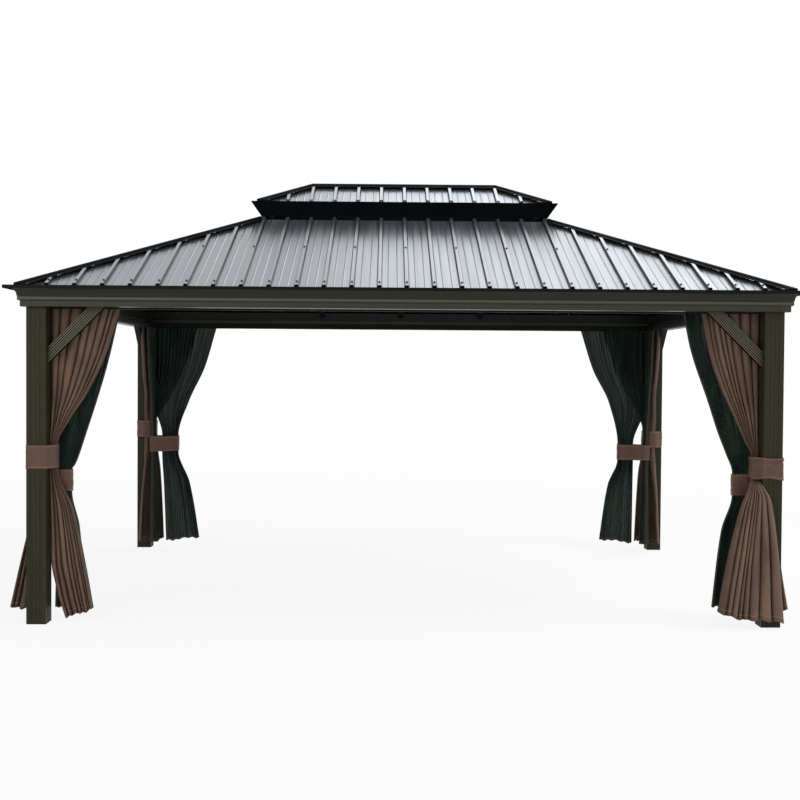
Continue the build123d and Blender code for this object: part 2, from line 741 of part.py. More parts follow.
# The eave and both roofs, side by side
trims = []
tracks = []
skirts = []
purlins = []
top_step = half_length - top_half_length
for quarter, name in enumerate(SIDE_NAMES):
    long_side = quarter % 2 == 0
    half_run, setback = (half_length, half_depth) if long_side else (half_depth, half_length)
    around = Rot(0, 0, 90 * quarter)
    save("beam_" + name, around * make_beam(half_run, setback))
    save("fascia_" + name, around * make_fascia(half_run, setback))
    trims.append(around * make_trim(half_run, setback))
    track_end = post_width if long_side else beam_width + track_width
    track = make_track(half_run - eave_overhang - track_end - fit_gap)
    beam_inner = setback - eave_overhang - beam_width
    tracks.append(around * Pos(0, -beam_inner + fit_gap, track_bottom + track_height) * track)
    purlins.append(around * make_purlin(half_run, setback))
    eave = setback - roof_inset
    save("roof_" + name, around * make_slope(half_run - roof_inset, eave, eave - roof_run, sheet_eave, roof_slope))
    top_eave = setback - top_step - top_inset
    top_slope_sheet = make_slope(half_run - top_step - top_inset, top_eave, top_eave - top_roof_half_depth,
                                 top_sheet_eave, top_slope)
    save("top_roof_" + name, around * top_slope_sheet)
    skirts.append(around * skirt_wall(half_run - top_step, setback - top_step))
save("eave_trim", *trims)
save("curtain_tracks", *tracks)
save("purlins", *purlins)
save("top_skirt", *skirts)
save("fascia_corners", *four_corners(make_corner_sleeve()))

# Knee braces
for name, front_brace, side_brace in zip(CORNER_NAMES, four_corners(make_brace()), four_corners(make_side_brace())):
    save("braces_" + name, front_brace, side_brace)

# Caps over the joints of both roofs
hip_cap = make_hip_cap(roof_half_length, roof_half_depth, roof_run, sheet_eave, roof_slope, cap_head_gap, trim_seat)
save("hip_caps", *four_corners(hip_cap))
top_cap = make_hip_cap(top_roof_half_length, top_roof_half_depth, top_roof_half_depth, top_sheet_eave, top_slope,
                       fit_gap, top_eave_height)
save("top_hip_caps", *four_corners(top_cap))
save("ridge_cap", make_ridge_cap())

# The frame under the roofs
rafters = []
for offset_x in (-rafter_share * vent_half_length, 0, rafter_share * vent_half_length):
    front_rafter = make_rafter(half_depth, ring_half_depth, offset_x)
    rafters += [front_rafter, mirror(front_rafter, about=Plane.XZ)]
side_rafter = Rot(0, 0, 90) * make_rafter(half_length, ring_half_length, 0)
rafters += [side_rafter, mirror(side_rafter, about=Plane.YZ)]
save("rafters", *rafters)
save("hip_rafters", *four_corners(make_hip_rafter()))
save("vent_ring", *ring_bars(ring_half_length, ring_half_depth, ring_width, ring_top - ring_height, ring_top))
save("top_frame", *ring_bars(frame_outer_x, frame_outer_y, top_frame_width, frame_bottom, frame_top),
     *make_studs(), *four_corners(make_top_hip_bar()), make_ridge_bar())

# Curtains, nets and their bands
for corner in CORNER_NAMES:
    size = CLOTH[corner]
    save("curtain_" + corner, placed(long_curtain(size), corner), placed(side_curtain(size), corner))
    save("net_" + corner, placed(long_net(size), corner), placed(side_net(size), corner))
save("tie_bands", *[placed(post_band(CLOTH[corner]), corner) for corner in CORNER_NAMES])
save("net_bands", *[placed(net_band(CLOTH[corner]), corner) for corner in CORNER_NAMES])
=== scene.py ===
"""Looks of the hardtop garden gazebo: coated metal, curtains and nets, roof screws and rib closures."""
import math
import random

import bmesh
import bpy
import numpy as np
from mathutils import Matrix, Vector, noise


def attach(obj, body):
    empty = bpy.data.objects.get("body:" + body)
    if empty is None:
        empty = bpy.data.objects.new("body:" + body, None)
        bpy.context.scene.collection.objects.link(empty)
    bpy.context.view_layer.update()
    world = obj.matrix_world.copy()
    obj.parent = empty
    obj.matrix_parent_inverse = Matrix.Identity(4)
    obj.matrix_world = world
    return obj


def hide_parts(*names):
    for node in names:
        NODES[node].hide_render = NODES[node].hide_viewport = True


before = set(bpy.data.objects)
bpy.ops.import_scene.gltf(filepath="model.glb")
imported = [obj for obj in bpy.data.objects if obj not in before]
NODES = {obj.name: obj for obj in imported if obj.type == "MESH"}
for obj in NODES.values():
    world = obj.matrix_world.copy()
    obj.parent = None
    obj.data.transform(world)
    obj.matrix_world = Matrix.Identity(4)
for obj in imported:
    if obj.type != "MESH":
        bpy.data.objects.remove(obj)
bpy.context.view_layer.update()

CORNERS = ("front_left", "front_right", "back_left", "back_right")
# Each side of the frame, and the axis that it runs along
SIDES = {"front": "x", "back": "x", "left": "y", "right": "y"}

# The camera, solved from points of the photograph: its place, its turns in degrees, and its lens in pixels
PHOTO_WIDTH = 800.0
CAMERA_PLACE = (-0.11428, -8.74527, 1.55573)
CAMERA_TURN = {"pitch": -1.31385, "yaw": -0.60814, "roll": -0.38423}
CAMERA_LENS = 1158.589
SENSOR_WIDTH = 36.0

# The background shows white. The sky that lights the part grows stronger between two values of a ray's x
WHITE = (1.0, 1.0, 1.0, 1.0)
SKY_COLOR = (0.93, 0.97, 1.0, 1.0)
SKY_SPREAD = (-0.3, 0.5)
SKY_STRENGTH = (0.35, 0.8)

# Each lamp: place, the point that it looks at, size, power and colour
LAMPS = {
    "key": ((7.5, -3.0, 8.0), (0.5, 0.0, 1.2), (5.0, 5.0), 400.0, (0.90, 0.96, 1.0)),
    "fill": ((-5.5, -9.0, 5.5), (0.0, 0.0, 1.2), (5.0, 4.0), 220.0, (1.0, 0.96, 0.90)),
    "back_card": ((6.0, 10.5, 12.5), (0.5, 0.0, 2.4), (15.0, 7.0), 490.0, (1.0, 1.0, 1.0)),
    "right_card": ((9.0, 8.5, 10.0), (1.2, 0.0, 2.4), (8.0, 5.0), 120.0, (1.0, 1.0, 1.0)),
}

# The floor: its radius, where it fades into the sky, its colour, and how much of it shows as plain white
FLOOR_RADIUS = 14.0
FLOOR_FADE = (6.0, 12.0)
FLOOR_COLOR = (0.88, 0.88, 0.87, 1.0)
FLOOR_WHITE = 0.88

# Places of the frame in metres, at the back right corner
POST_INNER = (2.204, 1.519)
POST_OUTER = (2.324, 1.639)
CURTAIN_LINE = (2.217, 1.532)
NET_LINE = (2.165, 1.480)
HANG_Z = 1.9412

# Lower and upper edge of each tie band
TIE_Z = {"front_left": (0.955, 1.105), "front_right": (0.912, 1.062), "back_left": (0.980, 1.130),
         "back_right": (0.912, 1.062)}
NET_TIE_Z = {"front_left": (0.805, 0.945), "front_right": (0.800, 0.940), "back_left": (0.858, 0.998),
             "back_right": (0.805, 0.945)}

# Along a brace, height plus the distance from the middle is the same: its value on the long and short sides
BRACE_SUM = (3.859, 3.174)
REED_PITCH = 0.012

# The roof's planes: foot of the sheets, slope, and the rib pitch
ROOF_FOOT = {"half_length": 2.357, "half_depth": 1.672, "z": 2.0727, "slope": 0.4415}
RIB_PITCH = 0.1686
RIB_HEIGHT = 0.020
# Where a rib's flank begins and ends, from the middle of the rib
RIB_FLANK = (0.0100, 0.0174)
MINOR_RIB_WIDTH = 0.012
# Heights of the painted highlight along the eave's torus; the painted shade of its cove begins at the upper
# one
TORUS_HIGHLIGHT_Z = (1.9920, 2.0122)


# Node trees

class Nodes:
    """A node tree with helpers to fill it."""

    def __init__(self, tree):
        self.tree = tree

    def node(self, kind, **settings):
        """Add a node and set its properties and its inputs by name."""
        node = self.tree.nodes.new(kind)
        for key, value in settings.items():
            if hasattr(node, key):
                setattr(node, key, value)
            else:
                node.inputs[key.replace("_", " ")].default_value = value
        return node

    def link(self, source, target):
        """Join two sockets."""
        self.tree.links.new(source, target)

    def math(self, operation, *inputs):
        """A maths node, its inputs numbers or sockets."""
        node = self.node("ShaderNodeMath", operation=operation)
        for socket, value in zip(node.inputs, inputs):
            if isinstance(value, float):
                socket.default_value = value
            else:
                self.link(value, socket)
        return node.outputs[0]

    def ramp(self, value, low, high, to_low=0.0, to_high=1.0):
        """Spread part of a value's range over another range."""
        node = self.node("ShaderNodeMapRange", From_Min=low, From_Max=high, To_Min=to_low, To_Max=to_high)
        self.link(value, node.inputs["Value"])
        return node.outputs[0]

    def axes(self, vector):
        """The X, Y and Z of a vector, by name."""
        split = self.node("ShaderNodeSeparateXYZ")
        self.link(vector, split.inputs[0])
        return split.outputs

    def coordinates(self, kind="Object"):
        """Texture coordinates: by default, places in the object's own space."""
        return self.node("ShaderNodeTexCoord").outputs[kind]

    def mix_shaders(self, factor, first, second):
        """Blend from one shader's node to another's."""
        mix = self.node("ShaderNodeMixShader")
        for socket, source in zip(mix.inputs, (factor, first.outputs[0], second.outputs[0])):
            self.link(source, socket)
        return mix

    def background_rays(self):
        """One for rays that show the background: from the camera, off gloss and through clear material."""
        path = self.node("ShaderNodeLightPath")
        total = path.outputs["Is Camera Ray"]
        for kind in ("Is Glossy Ray", "Is Transmission Ray"):
            total = self.math("MAXIMUM", total, path.outputs[kind])
        return total


class Paint(Nodes):
    """A Principled material with helpers for its textures."""

    def __init__(self, name, color, roughness, **sockets):
        self.material = bpy.data.materials.new(name)
        self.material.use_nodes = True
        super().__init__(self.material.node_tree)
        self.shader = self.tree.nodes["Principled BSDF"]
        self.color = color
        self.shader.inputs["Base Color"].default_value = (*color, 1.0)
        self.shader.inputs["Roughness"].default_value = roughness
        for socket, value in sockets.items():
            self.shader.inputs[socket.replace("_", " ")].default_value = value

    def stretched_noise(self, scale, detail=2.0):
        """Noise over the object's own coordinates, with its own scale along each axis."""
        mapping = self.node("ShaderNodeMapping")
        mapping.inputs["Scale"].default_value = scale
        texture = self.node("ShaderNodeTexNoise", Scale=1.0, Detail=detail)
        self.link(self.coordinates(), mapping.inputs["Vector"])
        self.link(mapping.outputs[0], texture.inputs["Vector"])
        return texture.outputs["Fac"]

    def blend_colors(self, factor, first, second):
        """Mix two colours, each a tuple or a socket."""
        node = self.node("ShaderNodeMix", data_type="RGBA")
        self.link(factor, node.inputs["Factor"])
        for socket, color in ((node.inputs[6], first), (node.inputs[7], second)):
            if isinstance(color, tuple):
                socket.default_value = (*color, 1.0)
            else:
                self.link(color, socket)
        return node.outputs[2]

    def within(self, value, low, high):
        """One where a value lies between two numbers."""
        return self.math("COMPARE", value, (low + high) / 2, (high - low) / 2)

    def bump(self, height, strength, distance):
        """Drive the shader's normal from a height, on top of any bump set before."""
        node = self.node("ShaderNodeBump", Strength=strength, Distance=distance)
        self.link(height, node.inputs["Height"])
        normal = self.shader.inputs["Normal"]
        if normal.links:
            self.link(normal.links[0].from_socket, node.inputs["Normal"])
        self.link(node.outputs[0], normal)

    def grain(self):
        """The fine grain of powder coat."""
        self.bump(self.stretched_noise((900.0, 900.0, 900.0), 1.0), strength=0.12, distance=0.0004)

    def set_color(self, socket):
        """Drive the base colour."""
        self.link(socket, self.shader.inputs["Base Color"])

    def set_roughness(self, socket):
        """Drive the roughness."""
        self.link(socket, self.shader.inputs["Roughness"])


# Camera, light and floor

def add_camera():
    """The camera of the photograph."""
    data = bpy.data.cameras.new("camera")
    data.sensor_width = SENSOR_WIDTH
    data.lens = SENSOR_WIDTH * CAMERA_LENS / PHOTO_WIDTH
    camera = bpy.data.objects.new("camera", data)
    turn = Matrix.Rotation(math.radians(CAMERA_TURN["roll"]), 3, "Y")
    turn = turn @ Matrix.Rotation(math.radians(CAMERA_TURN["pitch"]), 3, "X")
    turn = turn @ Matrix.Rotation(math.radians(CAMERA_TURN["yaw"]), 3, "Z")
    upright = Matrix.Rotation(math.radians(90), 3, "X")
    camera.matrix_world = Matrix.Translation(CAMERA_PLACE) @ (turn @ upright).to_4x4()
    bpy.context.scene.collection.objects.link(camera)
    bpy.context.scene.camera = camera


def add_lamp(name, place, target, size, power, color):
    """A rectangular soft light that looks at a target."""
    data = bpy.data.lights.new(name, "AREA")
    data.shape = "RECTANGLE"
    data.size, data.size_y = size
    data.energy = power
    data.color = color
    lamp = bpy.data.objects.new(name, data)
    aim = Vector(target) - Vector(place)
    lamp.rotation_euler = aim.to_track_quat("-Z", "Y").to_euler()
    lamp.location = place
    bpy.context.scene.collection.objects.link(lamp)


def set_world():
    """A soft sky, brighter to the right, behind which the background shows white."""
    world = bpy.data.worlds.new("sky")
    bpy.context.scene.world = world
    world.use_nodes = True
    nodes = Nodes(world.node_tree)
    nodes.tree.nodes.clear()
    direction = nodes.axes(nodes.coordinates("Generated"))
    soft = nodes.node("ShaderNodeBackground", Color=SKY_COLOR)
    nodes.link(nodes.ramp(direction["X"], *SKY_SPREAD, *SKY_STRENGTH), soft.inputs["Strength"])
    white = nodes.node("ShaderNodeBackground", Color=WHITE)
    mix = nodes.mix_shaders(nodes.background_rays(), soft, white)
    nodes.link(mix.outputs[0], nodes.node("ShaderNodeOutputWorld").inputs[0])


def floor_material():
    """Pale and matte, part of it plain white, and fading out toward the rim."""
    material = bpy.data.materials.new("floor")
    material.use_nodes = True
    nodes = Nodes(material.node_tree)
    nodes.tree.nodes.clear()
    matte = nodes.node("ShaderNodeBsdfDiffuse", Color=FLOOR_COLOR)
    glow = nodes.node("ShaderNodeEmission", Strength=1.0)
    lifted = nodes.mix_shaders(nodes.math("MULTIPLY", nodes.background_rays(), FLOOR_WHITE), matte, glow)
    radius = nodes.node("ShaderNodeVectorMath", operation="LENGTH")
    nodes.link(nodes.coordinates(), radius.inputs[0])
    fade = nodes.ramp(radius.outputs["Value"], *FLOOR_FADE)
    faded = nodes.mix_shaders(fade, lifted, nodes.node("ShaderNodeBsdfTransparent"))
    nodes.link(faded.outputs[0], nodes.node("ShaderNodeOutputMaterial").inputs[0])
    return material


def add_floor():
    """A pale round floor that fades into the white sky and keeps a soft shadow."""
    mesh = bpy.data.meshes.new("floor")
    sides = 96
    turns = [2 * math.pi * i / sides for i in range(sides)]
    just_below = -0.001
    ring = [(FLOOR_RADIUS * math.cos(a), FLOOR_RADIUS * math.sin(a), just_below) for a in turns]
    mesh.from_pydata(ring, [], [list(range(sides))])
    mesh.materials.append(floor_material())
    floor = bpy.data.objects.new("floor", mesh)
    bpy.context.scene.collection.objects.link(floor)


# Materials

def shade(color, factor):
    """A colour made lighter or darker."""
    return tuple(min(1.0, c * factor) for c in color)


def tint(color, factors):
    """A colour with each of its parts changed by its own factor."""
    return tuple(c * f for c, f in zip(color, factors))


def eave_light_tone(paint, tone):
    """The eave's profile with painted light: a painted highlight along its torus and painted shade in the
    cove above it.
    """
    height = paint.axes(paint.coordinates())["Z"]
    # Painted shade: the cove above the torus is made darker
    cove_painted_shade = paint.math("GREATER_THAN", height, TORUS_HIGHLIGHT_Z[1])
    tone = paint.blend_colors(cove_painted_shade, tone, shade(paint.color, 0.5))
    # Painted highlight: the torus is made paler
    return paint.blend_colors(paint.within(height, *TORUS_HIGHLIGHT_Z), tone, shade(paint.color, 2.1))


def coated_metal(name, color, roughness, streaks, moulding=False, **sockets):
    """Powder coat: long soft streaks along the length of the section and a fine grain."""
    paint = Paint(name, color, roughness, **sockets)
    streak = paint.ramp(paint.stretched_noise(streaks, 3.0), 0.35, 0.68)
    cloud = paint.ramp(paint.stretched_noise((1.3, 1.3, 1.3), 4.0), 0.35, 0.65, 0.0, 0.45)
    tone = paint.blend_colors(streak, shade(color, 0.84), shade(color, 1.14))
    tone = paint.blend_colors(cloud, tone, tint(color, (1.08, 1.0, 0.9)))
    # On the eave, a painted highlight along the torus and painted shade in the cove
    paint.set_color(eave_light_tone(paint, tone) if moulding else tone)
    paint.set_roughness(paint.ramp(streak, 0.0, 1.0, roughness * 0.88, roughness * 1.16))
    paint.grain()
    return paint.material


def brace_places(paint):
    """Where a point lies across the reeds of its brace, in reeds.

    Height plus the distance from the middle of the gazebo stays the same all along a brace.
    """
    axes = paint.axes(paint.coordinates())
    out_x = paint.math("ABSOLUTE", axes["X"])
    out_y = paint.math("ABSOLUTE", axes["Y"])
    on_long_side = paint.math("GREATER_THAN", out_y, POST_INNER[1] + 0.01)
    on_short_side = paint.math("SUBTRACT", 1.0, on_long_side)
    along_x = paint.math("MULTIPLY", paint.math("SUBTRACT", out_x, BRACE_SUM[0]), on_long_side)
    along_y = paint.math("MULTIPLY", paint.math("SUBTRACT", out_y, BRACE_SUM[1]), on_short_side)
    total = paint.math("ADD", paint.math("ADD", along_x, along_y), axes["Z"])
    return paint.math("DIVIDE", total, math.sqrt(2.0) * REED_PITCH)


def reeded_metal(name, color, crown_highlight_color):
    """The powder coat of the braces: painted shade in the grooves between reeds and a painted highlight on
    their crowns.
    """
    paint = Paint(name, color, 0.42, Metallic=0.1, Specular_IOR_Level=0.15)
    from_groove = paint.math("PINGPONG", brace_places(paint), 0.5)
    mottle = paint.stretched_noise((12.0, 12.0, 12.0))
    tone = paint.blend_colors(mottle, shade(color, 0.85), shade(color, 1.15))
    # Painted highlight on the reeds' crowns
    tone = paint.blend_colors(paint.math("GREATER_THAN", from_groove, 0.33), tone, crown_highlight_color)
    groove_painted_shade = paint.math("LESS_THAN", from_groove, 0.17)
    # Painted shade in the grooves
    paint.set_color(paint.blend_colors(groove_painted_shade, tone, shade(color, 0.25)))
    paint.grain()
    return paint.material


def roof_metal(name, color, across):
    """Coated roof sheet: faint streaks down the slope, slow waves of thin steel, painted shade on rib flanks
    and minor ribs.
    """
    def stretched(fine, coarse, detail):
        scale = (fine, coarse, coarse) if across == "X" else (coarse, fine, coarse)
        return paint.stretched_noise(scale, detail)

    paint = Paint(name, color, 0.33, Metallic=0.85)
    streak = paint.ramp(stretched(26.0, 0.7, 3.0), 0.38, 0.66)
    band = paint.ramp(stretched(5.0, 0.5, 2.0), 0.35, 0.65, 0.0, 0.6)
    tone = paint.blend_colors(streak, shade(color, 0.94), shade(color, 1.05))
    tone = paint.blend_colors(band, tone, tint(color, (1.03, 0.99, 0.96)))
    from_rib = paint.math("PINGPONG", paint.axes(paint.coordinates())[across], RIB_PITCH / 2)
    # Painted shade along each minor rib
    minor_rib_painted_shade = paint.math("COMPARE", from_rib, RIB_PITCH / 3, MINOR_RIB_WIDTH / 2)
    tone = paint.blend_colors(paint.math("MULTIPLY", minor_rib_painted_shade, 0.55), tone, shade(color, 0.6))
    # Painted shade, near black and a little uneven, on the flanks of the ribs
    flank_shade_mottle = paint.ramp(paint.stretched_noise((3.0, 3.0, 3.0), 3.0), 0.3, 0.6, 0.86, 1.0)
    flank_painted_shade = paint.math("MULTIPLY", paint.within(from_rib, *RIB_FLANK), flank_shade_mottle)
    paint.set_color(paint.blend_colors(flank_painted_shade, tone, shade(color, 0.03)))
    paint.set_roughness(paint.ramp(streak, 0.0, 1.0, 0.29, 0.38))
    paint.bump(stretched(4.0, 1.2, 1.0), strength=0.25, distance=0.004)
    paint.bump(paint.stretched_noise((1100.0, 1100.0, 1100.0), 0.0), strength=0.1, distance=0.0003)
    return paint.material


def cloth_coordinates(paint):
    """Where a point lies on the flat cloth, in metres, and its distance from the nearest hem."""
    cut = paint.node("ShaderNodeAttribute", attribute_name="cut").outputs["Vector"]
    return cut, paint.axes(cut)["Z"]


def weave(paint, vector, threads, strength):
    """Warp and weft as two crossed waves: their height, which also bumps the surface."""
    waves = []
    for axis in ("X", "Y"):
        wave = paint.node("ShaderNodeTexWave", wave_type="BANDS", bands_direction=axis, wave_profile="SIN",
                          Scale=threads, Distortion=0.6, Detail=1.0)
        paint.link(vector, wave.inputs["Vector"])
        waves.append(wave.outputs["Fac"])
    height = paint.math("MULTIPLY", *waves)
    paint.bump(height, strength, 0.0004)
    return height


def woven_cloth(name, color, light, hem_width, stitch, painted_fold_shade=True):
    """Woven polyester: mottled, with painted shade in its folds, soft creases, a doubled hem and its
    stitches.
    """
    paint = Paint(name, color, 0.6, Sheen_Weight=0.1, Sheen_Roughness=0.45, Specular_IOR_Level=0.3)
    vector, edge_distance = cloth_coordinates(paint)
    mottle = paint.ramp(paint.stretched_noise((9.0, 9.0, 3.0), 3.0), 0.35, 0.65)
    tone = paint.blend_colors(mottle, color, light)
    threads = weave(paint, vector, 160.0, 0.25)
    tone = paint.blend_colors(paint.ramp(threads, 0.0, 1.0, 0.25, 0.0), tone, shade(color, 0.55))
    if painted_fold_shade:
        # Painted shade in the valleys between folds, from each point's height on its fold
        crest = paint.node("ShaderNodeAttribute", attribute_name="fold").outputs["Fac"]
        tone = paint.blend_colors(paint.ramp(crest, 0.35, 0.95, 0.8, 0.0), tone, shade(color, 0.3))
    doubled = paint.math("COMPARE", edge_distance, 0.0, hem_width)
    tone = paint.blend_colors(paint.ramp(doubled, 0.0, 1.0, 0.0, 0.3), tone, shade(color, 0.6))
    stitches = paint.math("COMPARE", edge_distance, hem_width, stitch)
    tone = paint.blend_colors(paint.ramp(stitches, 0.0, 1.0, 0.0, 0.7), tone, shade(light, 1.8))
    paint.set_color(tone)
    paint.set_roughness(paint.ramp(mottle, 0.0, 1.0, 0.5, 0.7))
    paint.bump(doubled, strength=0.6, distance=0.001)
    paint.bump(paint.stretched_noise((60.0, 60.0, 22.0), 3.0), strength=0.4, distance=0.002)
    paint.bump(paint.stretched_noise((22.0, 22.0, 7.0), 3.0), strength=0.8, distance=0.010)
    return paint.material


def netting(name, color, light, hem_color):
    """Fine mosquito netting: open mesh between dull threads, with a cloth hem."""
    paint = Paint(name, color, 0.8, Specular_IOR_Level=0.2)
    vector, edge_distance = cloth_coordinates(paint)
    mottle = paint.ramp(paint.stretched_noise((14.0, 14.0, 3.0), 3.0), 0.38, 0.66)
    tone = paint.blend_colors(mottle, color, light)
    threads = weave(paint, vector, 220.0, 0.15)
    paint.set_color(paint.blend_colors(paint.math("COMPARE", edge_distance, 0.0, 0.022), tone, hem_color))
    paint.link(paint.ramp(threads, 0.0, 0.5, 0.90, 1.0), paint.shader.inputs["Alpha"])
    paint.set_roughness(paint.ramp(mottle, 0.0, 1.0, 0.7, 0.9))
    paint.bump(paint.stretched_noise((70.0, 70.0, 16.0), 2.0), strength=0.3, distance=0.002)
    return paint.material


def make_materials():
    """Every finish, by name."""
    olive = (0.032, 0.030, 0.015)
    eave = (0.040, 0.041, 0.028)
    sheet = (0.305, 0.334, 0.364)
    # The eave's coat, with a painted highlight and painted shade on its profile
    eave_coat = {"moulding": True, "Metallic": 0.15, "Specular_IOR_Level": 0.25}
    finishes = [
        coated_metal("frame_upright", olive, 0.48, (24.0, 24.0, 0.6), Metallic=0.1, Specular_IOR_Level=0.15),
        coated_metal("frame_x", eave, 0.36, (0.5, 18.0, 30.0), **eave_coat),
        coated_metal("frame_y", eave, 0.36, (18.0, 0.5, 30.0), **eave_coat),
        # Braces: a dark coat, with a pale painted highlight colour for the reeds' crowns
        reeded_metal("brace", (0.024, 0.023, 0.013), (0.185, 0.170, 0.115)),
        coated_metal("inner", (0.007, 0.012, 0.010), 0.6, (6.0, 6.0, 6.0), Specular_IOR_Level=0.1),
        # Near black with almost no gloss: the black finish of the caps; on the top skirt it is also painted
        # shade under the upper roof
        coated_metal("cap", (0.004, 0.005, 0.006), 0.6, (5.0, 5.0, 5.0), Specular_IOR_Level=0.03),
        coated_metal("trim", (0.006, 0.007, 0.006), 0.5, (3.0, 3.0, 12.0), Specular_IOR_Level=0.08),
        roof_metal("roof_X", sheet, "X"),
        # Painted light: the upper roof gets the same sheet finish made 1.2 times lighter, for the brighter
        # light on it
        roof_metal("top_roof_X", shade(sheet, 1.2), "X"),
        roof_metal("roof_Y", sheet, "Y"),
        roof_metal("top_roof_Y", shade(sheet, 1.2), "Y"),
        coated_metal("screw", (0.02, 0.022, 0.024), 0.3, (40.0, 40.0, 40.0), Metallic=0.6),
        woven_cloth("curtain", (0.110, 0.062, 0.040), (0.225, 0.133, 0.088), 0.03, 0.0016),
        woven_cloth("band", (0.105, 0.055, 0.038), (0.155, 0.086, 0.060), 0.010, 0.0024, painted_fold_shade=False),
        netting("net", (0.0045, 0.0100, 0.0090), (0.020, 0.040, 0.026), (0.045, 0.036, 0.024)),
    ]
    return {material.name: material for material in finishes}


def assign(material, *nodes):
    """Give CAD nodes their finish."""
    for node in nodes:
        mesh = NODES[node].data
        mesh.materials.clear()
        mesh.materials.append(MATERIALS[material])


def dress_frame():
    """Finishes of the metal nodes."""
    for corner in CORNERS:
        assign("frame_upright", "post_" + corner)
        assign("brace", "braces_" + corner)
    for side, axis in SIDES.items():
        assign("frame_" + axis, "beam_" + side, "fascia_" + side)
        assign("roof_" + axis.upper(), "roof_" + side)
        assign("top_roof_" + axis.upper(), "top_roof_" + side)
    assign("frame_x", "fascia_corners")
    assign("inner", "post_feet", "curtain_tracks")
    assign("inner", "hip_rafters", "rafters", "purlins", "vent_ring", "top_frame")
    assign("cap", "hip_caps", "top_hip_caps", "ridge_cap", "top_skirt")
    assign("trim", "eave_trim")


# Mesh helpers

def new_piece(name, points, faces, material, smooth=True):
    """A mesh piece that belongs to the one body."""
    mesh = bpy.data.meshes.new(name)
    mesh.from_pydata(points, [], faces)
    mesh.update()
    mesh.materials.append(MATERIALS[material])
    for polygon in mesh.polygons:
        polygon.use_smooth = smooth
    piece = bpy.data.objects.new(name, mesh)
    bpy.context.scene.collection.objects.link(piece)
    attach(piece, "root")
    return piece


def corner_signs(corner):
    """The signs that take a place at the back right corner to another corner."""
    return -1.0 if corner.endswith("left") else 1.0, -1.0 if corner.startswith("front") else 1.0


def grid_faces(rows, columns, corner, closed=False):
    """Quads of a grid of points stored row by row, turned over where the corner is a mirrored one."""
    wide = columns if closed else columns - 1
    faces = []
    for r in range(rows - 1):
        for c in range(wide):
            low, low_next = r * columns + c, r * columns + (c + 1) % columns
            faces.append((low, low_next, low_next + columns, low + columns))
    side_x, side_y = corner_signs(corner)
    return [tuple(reversed(face)) for face in faces] if side_x * side_y < 0 else faces


def set_vectors(piece, name, values):
    """Store a vector for each point of a piece."""
    attribute = piece.data.attributes.new(name, "FLOAT_VECTOR", "POINT")
    attribute.data.foreach_set("vector", [number for value in values for number in value])


def smooth_curve(z, knots, values):
    """Values along z through the knots, without overshoot."""
    knots, values = np.asarray(knots, float), np.asarray(values, float)
    step = np.diff(knots)
    slope = np.diff(values) / step
    tangent = np.zeros_like(values)
    tangent[0], tangent[-1] = slope[0], slope[-1]
    for i in range(1, len(values) - 1):
        if slope[i - 1] * slope[i] > 0:
            tangent[i] = 2.0 * slope[i - 1] * slope[i] / (slope[i - 1] + slope[i])
    z = np.clip(z, knots[0], knots[-1])
    i = np.clip(np.searchsorted(knots, z, side="right") - 1, 0, len(step) - 1)
    t = (z - knots[i]) / step[i]
    h = step[i]
    return ((2 * t ** 3 - 3 * t ** 2 + 1) * values[i] + (t ** 3 - 2 * t ** 2 + t) * h * tangent[i]
            + (3 * t ** 2 - 2 * t ** 3) * values[i + 1] + (t ** 3 - t ** 2) * h * tangent[i + 1])


# How curtains and nets gather

SHEET_ROWS = 96
# A plan line shorter than this is inside the tie
TIE_WIDTH = 0.17

# The line that one fold of cloth follows: place along the fold, and height from -1 at the back to 1 at the
# crest. A deep fold keeps its spare cloth in two loops inside the crest. A plain fold bulges on both sides.
DEEP_FOLD = ((0.12, -0.95), (0.04, -0.55), (0.03, 0.00), (0.07, 0.38), (0.18, 0.74), (0.34, 0.95),
             (0.50, 1.00), (0.66, 0.95), (0.82, 0.74), (0.93, 0.38), (0.97, 0.00), (0.94, -0.45),
             (0.86, -0.60), (0.79, -0.40), (0.76, 0.25), (0.66, 0.42), (0.56, 0.25), (0.54, -0.50),
             (0.49, -0.66), (0.44, -0.50), (0.42, 0.25), (0.32, 0.42), (0.22, 0.25), (0.19, -0.60),
             (0.30, -0.84), (0.70, -0.90))
PLAIN_FOLD = tuple((k / 12 + 0.33 * math.sin(math.pi * k / 3), -math.cos(math.pi * k / 6)) for k in range(12))

# Long and side sheets: how many folds each has, and the size of the flat cloth
CURTAIN_STYLE = {"profile": DEEP_FOLD, "columns": 32, "material": "curtain", "slot": "curtain_cloth",
                 "outward": True, "long": (8, (2.2, 1.88)), "side": (6, (1.5, 1.88))}
NET_STYLE = {"profile": PLAIN_FOLD, "columns": 16, "material": "net", "slot": "net_cloth",
             "outward": False, "long": (20, (2.2, 1.86)), "side": (14, (1.5, 1.86))}

# The smooth line through a fold has this many steps from point to point, and is this much wider than high
FOLD_STEPS = 12
FOLD_ASPECT = 2.2
# Widths that folds are drawn from, and how these narrow from the post's edge to the leading edge
FOLD_WIDTHS = (0.55, 1.45)
FOLD_TAPER = (1.4, 0.7)
# How far crests stand out, how fast that changes down the cloth and by how much, and its limits
CREST_LEVELS = (0.55, 1.0)
CREST_RATES = (1.6, 4.8)
CREST_SWAY = 0.2
CREST_LIMITS = (0.35, 1.0)
# Rows crowd round the tie: by how much, and over what share of the height
TIE_CROWD = 1.6
TIE_SPREAD = 0.07
# Waves along a hem: height, waves per share of the cloth, and shift by the seed
HEM_WAVES = ((0.006, 8.0, 1.0), (0.005, 27.0, 2.0))
# Slow sideways drift of the folds: share of the cloth, waves down and across, and shift by the seed
FOLD_DRIFT = ((0.028, 2.6, 5.0, 1.0), (0.010, 7.0, 11.0, 2.0))
# Fine unevenness of the cloth, half as fine along z: its rate, then share of the fold's depth and fineness
RIPPLE_RATE = 12.0
RIPPLES = ((0.12, 1.0), (0.04, 2.7))


